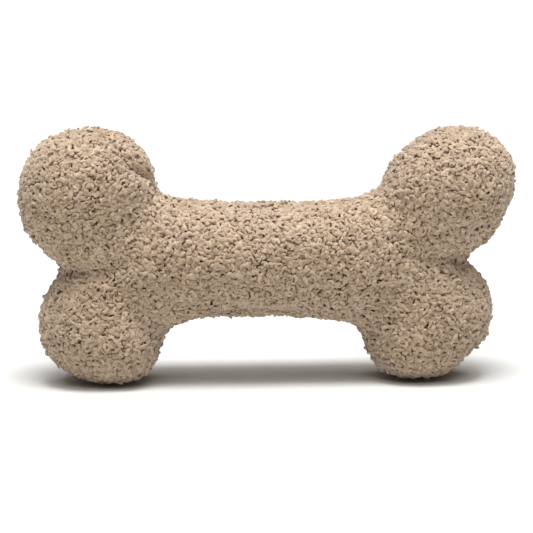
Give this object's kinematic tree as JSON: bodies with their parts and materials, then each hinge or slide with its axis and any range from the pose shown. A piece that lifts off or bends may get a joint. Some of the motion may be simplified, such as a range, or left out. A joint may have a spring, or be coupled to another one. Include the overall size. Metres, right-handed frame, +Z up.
{
  "type": "plush bone dog toy",
  "caption": "Stuffed bone-shaped dog toy in curly sherpa fleece: sewn panels over fibre filling, with a press-to-squeak bulb in the shaft.",
  "frame": {"origin": "centre of the toy's footprint, on the surface that its two lower lobes stand on", "axes": "+X along the bone to the right as seen in the picture, +Y from the front panel to the back panel, +Z up"},
  "size_m": [0.2954, 0.0704, 0.1533],
  "materials": {
    "sherpa_fleece": "curly sherpa pile, taupe tan",
    "sewing_thread": "spun polyester thread, tan",
    "fibrefill": "loose crimped polyester fibre, white",
    "pouch_nonwoven": "point-bonded nonwoven, white",
    "squeaker_polyethylene": "blow-moulded soft polyethylene, milky white",
    "reed_polypropylene": "injection-moulded polypropylene, natural",
    "reed_film": "thin polyester film, clear and milky"
  },
  "bodies": {
    "toy": {"front_panel": "sherpa_fleece", "back_panel": "sherpa_fleece", "seam_needle_thread": "sewing_thread", "seam_bobbin_thread": "sewing_thread", "closing_thread": "sewing_thread", "upper_left_filling": "fibrefill", "upper_right_filling": "fibrefill", "lower_left_filling": "fibrefill", "lower_right_filling": "fibrefill", "shaft_filling": "fibrefill", "pouch_front": "pouch_nonwoven", "pouch_back": "pouch_nonwoven", "pouch_thread": "sewing_thread", "squeaker_back_shell": "squeaker_polyethylene", "squeaker_bellows": "squeaker_polyethylene", "reed_base": "reed_polypropylene", "reed_cover": "reed_polypropylene"},
    "pressed_shell": {"squeaker_front_shell": "squeaker_polyethylene"},
    "tongue": {"reed_tongue": "reed_film"}
  },
  "joints": [
    {"name": "squeaker_press", "type": "slide", "parent": "toy", "child": "pressed_shell", "axis": [0, 1, 0], "range_m": [0, 0.0055], "stiffness_N_per_m": 1500, "deforming": ["squeaker_bellows"]},
    {"name": "reed_flutter", "type": "hinge", "parent": "toy", "child": "tongue", "pos_m": [-0.0031, 0.0075, 0.0723], "axis": [-1, 0, 0], "range_deg": [0, 5], "stiffness_Nm_per_rad": 0.00002}
  ]
}
